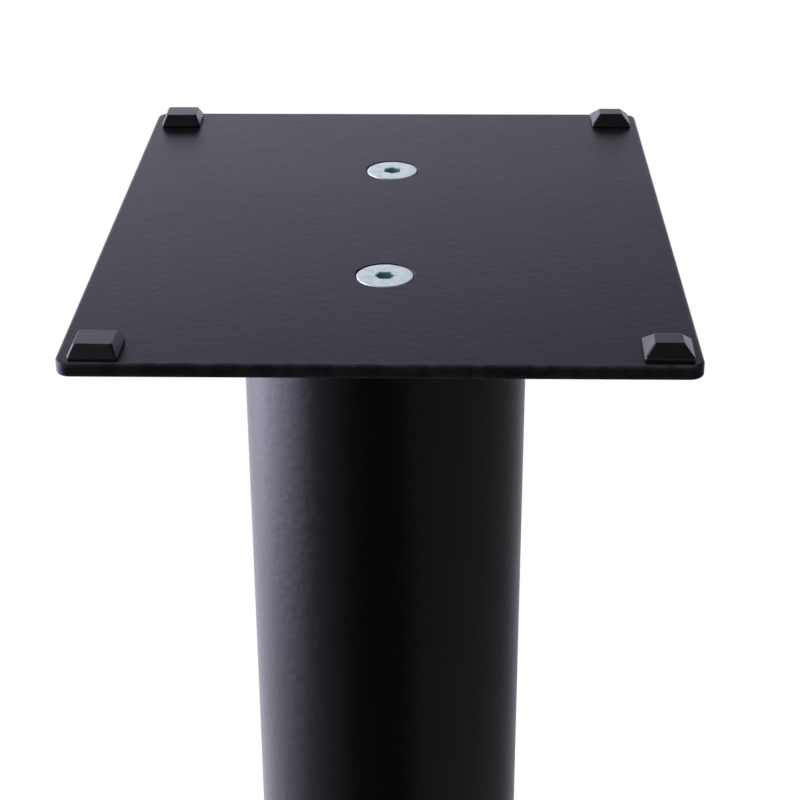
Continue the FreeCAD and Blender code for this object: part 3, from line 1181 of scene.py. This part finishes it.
@dataclass(frozen=True)
class Locknut:
    """A thin hexagon nut with turned-down corners, its lower face at the origin."""

    flats: float = 13.0 * MM
    thickness: float = 4.0 * MM
    face_radius: float = 6.1 * MM
    corner_slope: float = 0.57
    corner_round: float = 0.25 * MM
    bore_radius: float = 4.05 * MM
    chamfer: float = 0.8 * MM

    def model(self) -> bpy.types.Object:
        """Make the nut.

        Returns:
            The finished mesh's object, at the origin.
        """
        over = 0.5 * MM
        nut = Bench.cylinder("nut", 6, self.flats / math.sqrt(3), -over, self.thickness + over)
        with Bench.editing(nut):
            Bench.pick(nut, Element.EDGE, standing_edges)
            bpy.ops.mesh.bevel(offset=self.corner_round, segments=3, affect="EDGES")
        Bench.combine(nut, self.blank(), "INTERSECT")
        Bench.combine(nut, self.bore(), "DIFFERENCE")
        Bench.mend(nut)
        Bench.smooth(nut, 25.0)
        return nut

    def blank(self) -> bpy.types.Object:
        """Make the turned disc whose cones cut the corners down.

        Returns:
            The disc, as thick as the nut.
        """
        wide = self.flats / math.sqrt(3) + 1 * MM
        drop = (wide - self.face_radius) * self.corner_slope
        upper, lower = self.thickness - drop, drop
        blank = Bench.cylinder("blank", 96, wide, lower, upper)
        Bench.draw_out(blank, [(upper, wide), (self.thickness, self.face_radius)])
        Bench.draw_out(blank, [(lower, wide), (0, self.face_radius)])
        return blank

    def bore(self) -> bpy.types.Object:
        """Make the bore with its chamfered mouths.

        Returns:
            The bore, long enough to pass through the nut.
        """
        radius, chamfer, over = self.bore_radius, self.chamfer, 0.5 * MM
        upper, lower = self.thickness - chamfer, chamfer
        bore = Bench.cylinder("bore", 64, radius, lower, upper)
        wide = radius + chamfer + over
        Bench.draw_out(bore, [(upper, radius), (self.thickness + over, wide)])
        Bench.draw_out(bore, [(lower, radius), (-over, wide)])
        return bore


@dataclass(frozen=True)
class RubberPad:
    """A moulded bumper: a low square skirt under a block that tapers to a flat top."""

    top_width: float
    top_depth: float
    base: float = 12.9 * MM
    height: float = 3.85 * MM
    skirt: float = 1.0 * MM
    corner_radius: float = 0.7 * MM
    rim_round: float = 0.22 * MM

    def model(self) -> bpy.types.Object:
        """Make the pad.

        Returns:
            The finished mesh's object, its foot at the origin.
        """
        bpy.ops.object.select_all(action="DESELECT")
        bpy.ops.mesh.primitive_cube_add(
            size=1, location=(0, 0, self.skirt / 2), scale=(self.base, self.base, self.skirt)
        )
        pad = Bench.named("pad")
        with Bench.editing(pad):
            Bench.pick(pad, Element.FACE, faces_at(self.skirt, upward=True))
            Bench.lift(self.height - self.skirt)
            Bench.narrow(self.top_width / self.base, self.top_depth / self.base, (0, 0, self.height))
            Bench.pick(pad, Element.EDGE, standing_edges)
            bpy.ops.mesh.bevel(offset=self.corner_radius, segments=4, affect="EDGES")
        Bench.soften(pad, self.rim_round, 3, 30.0)
        Bench.mend(pad)
        Bench.smooth(pad)
        return pad


# Sub-assemblies


@dataclass
class Assembly:
    """Some pieces of the stand, and the finishes that they share."""

    def build(self) -> None:
        """Make and dress every piece."""
        raise NotImplementedError

    def keep(self, node: str, finish: Finish) -> None:
        """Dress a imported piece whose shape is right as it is.

        Args:
            node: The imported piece's name.
            finish: Its finish.
        """
        finish.dress(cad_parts[node])
        LOG.info("%s: packed shape in %s", node, finish.slot.value)

    def stand_for(self, piece: bpy.types.Object, node: str, body: str, finish: Finish) -> None:
        """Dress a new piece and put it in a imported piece's stead.

        Args:
            piece: The new piece, in its place.
            node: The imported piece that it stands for.
            body: The body that it moves with.
            finish: Its finish.
        """
        finish.dress(piece)
        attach(piece, body)
        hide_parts(node)
        LOG.info("%s: %d faces in %s", piece.name, len(piece.data.polygons), finish.slot.value)


@dataclass
class Frame(Assembly):
    """The two plates, and the two tubes with the bars welded across their ends."""

    plate_finish: Finish = PowderCoat()
    tube_finish: Finish = TubeCoat()
    bar_finish: Finish = BareSteel()

    def build(self) -> None:
        """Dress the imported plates, tubes and bars."""
        for plate in ("top_plate", "base_plate"):
            self.keep(plate, self.plate_finish)
        for end in End:
            self.keep(f"{end.value}_column", self.tube_finish)
            for level in ("upper", "lower"):
                self.keep(f"{end.value}_column_{level}_anchor", self.bar_finish)


@dataclass
class PlateScrews(Assembly):
    """The four countersunk screws that hold the columns to the plates."""

    finish: Finish = ZincPlate()
    top: CountersunkScrew = CountersunkScrew(length=16.0 * MM)
    base: CountersunkScrew = CountersunkScrew(length=20.0 * MM)
    turns: tuple[tuple[End, float], ...] = ((End.FRONT, 30.0), (End.REAR, 0.0))

    def build(self) -> None:
        """Model one screw of each length and copy it to both columns."""
        for level, screw, flip in (("top", self.top, 0.0), ("base", self.base, 180.0)):
            pattern = screw.model()
            for end, turn in self.turns:
                node = f"{level}_screw_{end.value}"
                low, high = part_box(node)
                face = (*((low + high) / 2).xy, low.z if flip else high.z)
                about_x = Matrix.Rotation(math.radians(flip), 4, "X")
                about_z = Matrix.Rotation(math.radians(0.0 if flip else turn), 4, "Z")
                place = Matrix.Translation(face) @ about_z @ about_x
                piece = Bench.copy(pattern, f"{node}_threaded", place)
                self.stand_for(piece, node, ROOT_BODY, self.finish)
            Bench.drop(pattern)


@dataclass
class RubberPads(Assembly):
    """The four pads, stuck on by hand, so each one has its own turn."""

    finish: Finish = PadRubber()
    left: RubberPad = RubberPad(top_width=10.1 * MM, top_depth=8.6 * MM)
    right: RubberPad = RubberPad(top_width=7.4 * MM, top_depth=5.8 * MM)
    turns: tuple[tuple[Corner, float], ...] = (
        (Corner.FRONT_LEFT, -1.5),
        (Corner.FRONT_RIGHT, -1.5),
        (Corner.REAR_LEFT, 0.5),
        (Corner.REAR_RIGHT, -0.4),
    )

    def build(self) -> None:
        """Model each pad and set it at its corner."""
        for corner, turn in self.turns:
            node = f"top_pad_{corner.value}"
            low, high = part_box(node)
            middle = (low + high) / 2
            shape = self.left if middle.x < 0 else self.right
            pattern = shape.model()
            spin = Matrix.Rotation(math.radians(turn), 4, "Z")
            place = Matrix.Translation((middle.x, middle.y, low.z)) @ spin
            piece = Bench.copy(pattern, f"{node}_moulded", place)
            Bench.drop(pattern)
            self.stand_for(piece, node, ROOT_BODY, self.finish)


@dataclass
class Feet(Assembly):
    """The floor spikes and their locknuts, each on a body of its own."""

    finish: Finish = SpikeSteel()
    spike: FloorSpike = FloorSpike()
    nut: Locknut = Locknut()

    def build(self) -> None:
        """Model one spike and one nut, and copy them to the four corners."""
        spike, nut = self.spike.model(), self.nut.model()
        for corner in Corner:
            kinds = (
                (spike, f"floor_spike_{corner.value}", f"spike_{corner.value}", "threaded"),
                (nut, f"spike_locknut_{corner.value}", f"locknut_{corner.value}", "turned"),
            )
            for pattern, node, body, how in kinds:
                low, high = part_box(node)
                foot = (*((low + high) / 2).xy, low.z)
                piece = Bench.copy(pattern, f"{node}_{how}", Matrix.Translation(foot))
                self.stand_for(piece, node, body, self.finish)
        Bench.drop(spike)
        Bench.drop(nut)


# Studio


@dataclass(frozen=True)
class Viewpoint:
    """The camera, where the photograph was taken from."""

    lens: float = 84.576
    sensor: float = 36.0
    shift_y: float = -0.075
    place: Colour = (14.9858 * MM, -525.6788 * MM, 807.2752 * MM)
    yaw: float = -0.0224
    pitch: float = 0.4397
    roll: float = -0.0045

    def build(self) -> None:
        """Make the scene's camera."""
        bpy.ops.object.select_all(action="DESELECT")
        bpy.ops.object.camera_add(location=self.place)
        camera = bpy.context.active_object
        camera.name = "viewpoint"
        turn = (
            Matrix.Rotation(-self.yaw, 3, "Z")
            @ Matrix.Rotation(math.pi / 2 - self.pitch, 3, "X")
            @ Matrix.Rotation(self.roll, 3, "Z")
        )
        camera.rotation_euler = turn.to_euler()
        camera.data.lens = self.lens
        camera.data.sensor_width = self.sensor
        camera.data.shift_y = self.shift_y
        bpy.context.scene.camera = camera


@dataclass(frozen=True)
class Surroundings:
    """The lit room: a pale backdrop, a tall window at the left, and dim elsewhere.

    Bearings are in degrees from the front towards the left.

    Attributes:
        front: Brightness of the dark side, behind the camera.
        side: Brightness at the right.
        backdrop: Brightness of the backdrop's middle.
        backdrop_bearing: Its direction.
        low_bearing: The direction of its lower part, which curves out over the floor.
        window: Brightness of the window's middle.
        window_bearing: Its direction.
        cast: Colour of the backdrop and the window in reflections.
        dark_bearing: The direction of the dark side's middle.
        dark_edge: How nearly a direction has that bearing where the dark begins and is full.
        upper_fade: Heights where the backdrop's upper part is gone and full.
        seam: Heights where the backdrop's lower part is full and its upper part is.
        window_edge: How nearly a direction has the window's bearing where it begins and is full.
        window_top: Heights where the window is gone and full.
        window_sill: Heights where it begins and is full, from below.
        ceiling: Heights where the dim light starts to fall and has fallen.
    """

    front: float = 0.007
    side: float = 0.165
    backdrop: float = 1.32
    backdrop_bearing: float = 180.0
    low_bearing: float = 151.5
    window: float = 4.3
    window_bearing: float = 100.0
    cast: Colour = (0.83, 0.81, 1.0)
    dark_bearing: float = 8.0
    dark_edge: tuple[float, float] = (0.83, 0.97)
    upper_fade: tuple[float, float] = (0.52, 0.205)
    seam: tuple[float, float] = (-0.4, -0.1)
    window_edge: tuple[float, float] = (0.75, 0.996)
    window_top: tuple[float, float] = (0.95, 0.45)
    window_sill: tuple[float, float] = (-0.548, -0.399)
    ceiling: tuple[float, float] = (0.4, 0.75)

    def build(self) -> None:
        """Make the world, which the camera sees as plain white."""
        world = bpy.data.worlds.new("studio")
        world.use_nodes = True
        bpy.context.scene.world = world
        graph = Graph(world.node_tree)
        direction = graph.node("ShaderNodeTexCoord").outputs["Generated"]
        x, y, z = graph.parts(direction)
        level = (x * x + y * y).root().at_least(0.02)

        def towards(bearing: float) -> Signal:
            """Tell how nearly a direction has a bearing.

            Args:
                bearing: The bearing, in degrees.

            Returns:
                1 along it and 0 at right angles.
            """
            turn = math.radians(bearing)
            return (x * -math.sin(turn) + y * -math.cos(turn)) / level

        height = z.rise(*self.upper_fade) * z.rise(*self.seam)
        leftward = 1.0 - 2.5 * x * z.rise(0.1, 0.3)
        upper = towards(self.backdrop_bearing).at_least(0.0) ** 1.2 * height * leftward
        lower = towards(self.low_bearing).at_least(0.0) ** 1.9 * z.rise(*reversed(self.seam))
        backdrop = upper + lower
        window = towards(self.window_bearing).rise(*self.window_edge)
        window = window * z.rise(*self.window_top) * z.rise(*self.window_sill)
        dark = (towards(self.dark_bearing) - 0.4 * (z + 0.45)).rise(*self.dark_edge)
        pale = backdrop * self.backdrop + window * self.window
        dim = (self.side - dark * (self.side - self.front)) * (1.0 - 0.85 * z.rise(*self.ceiling))
        light = dim + pale
        rays = graph.node("ShaderNodeLightPath")
        seen = Signal(graph, rays.outputs["Is Camera Ray"])
        mirrored = Signal(graph, rays.outputs["Is Glossy Ray"])
        background = graph.node(
            "ShaderNodeBackground",
            None,
            {
                "Color": graph.blend(mirrored * pale / light, (1.0, 1.0, 1.0), self.cast),
                "Strength": light + seen * (1.0 - light),
            },
        )
        graph.finish(background, "ShaderNodeOutputWorld")


@dataclass(frozen=True)
class StudioFloor:
    """A pale floor under the stand, which keeps its shadow and fades into the white sweep."""

    colour: Colour = (0.82, 0.82, 0.82)
    radius: float = 9.0
    fade_start: float = 0.22
    fade_end: float = 0.38

    def build(self) -> None:
        """Make the floor."""
        bpy.ops.object.select_all(action="DESELECT")
        bpy.ops.mesh.primitive_circle_add(vertices=96, radius=self.radius, fill_type="NGON")
        floor = Bench.named("studio_floor")
        with Bench.editing(floor):
            bpy.ops.mesh.select_all(action="SELECT")
            bpy.ops.mesh.inset(thickness=self.radius - self.fade_end * 2)
        material = bpy.data.materials.new("studio_floor")
        material.use_nodes = True
        graph = Graph(material.node_tree)
        place = graph.place()
        x, y, _ = graph.parts(place)
        distance = (x * x + y * y).root()
        cloud = graph.noise(place, 40 * MM, 3.0)
        paper = graph.noise(place, 1.2 * MM, 2.0)
        dull = tuple(part * 0.97 for part in self.colour)
        pale = graph.node(
            "ShaderNodeBsdfPrincipled",
            None,
            {
                "Base Color": graph.blend(cloud * 0.3, self.colour, dull),
                "Roughness": 0.62,
                "Specular IOR Level": 0.25,
                "Normal": graph.bump(paper, 0.02 * MM),
            },
        )
        seen = graph.node("ShaderNodeLightPath").outputs["Is Camera Ray"]
        white = graph.node("ShaderNodeEmission", None, {"Color": (1.0, 1.0, 1.0), "Strength": 1.0})
        clear = graph.node("ShaderNodeBsdfTransparent")
        sweep = graph.node("ShaderNodeMixShader", None, {0: seen, 1: clear, 2: white})
        away = distance.rise(self.fade_start, self.fade_end)
        graph.finish(graph.node("ShaderNodeMixShader", None, {0: away, 1: pale, 2: sweep}))
        floor.data.materials.append(material)


@dataclass(frozen=True)
class Softbox:
    """A large soft lamp overhead, aimed at the stand."""

    place: Colour = (-0.25, 0.35, 2.5)
    target: Colour = (0.0, 0.0, 0.3)
    size: float = 1.8
    power: float = 34.0

    def build(self) -> None:
        """Make the lamp."""
        bpy.ops.object.select_all(action="DESELECT")
        bpy.ops.object.light_add(type="AREA", location=self.place)
        lamp = bpy.context.active_object
        lamp.name = "softbox"
        aim = Vector(self.target) - Vector(self.place)
        lamp.rotation_euler = aim.to_track_quat("-Z", "Y").to_euler()
        lamp.data.shape = "SQUARE"
        lamp.data.size = self.size
        lamp.data.energy = self.power
        lamp.visible_camera = False
        lamp.visible_glossy = False


def main() -> None:
    """Build the studio and the stand, and report each piece."""
    logging.basicConfig(level=logging.INFO, format="%(name)s: %(message)s")
    bpy.context.scene.view_settings.view_transform = "Standard"
    for stage in (Viewpoint(), Surroundings(), StudioFloor(), Softbox()):
        stage.build()
    for assembly in (Frame(), PlateScrews(), RubberPads(), Feet()):
        assembly.build()


if __name__ == "__main__":
    main()
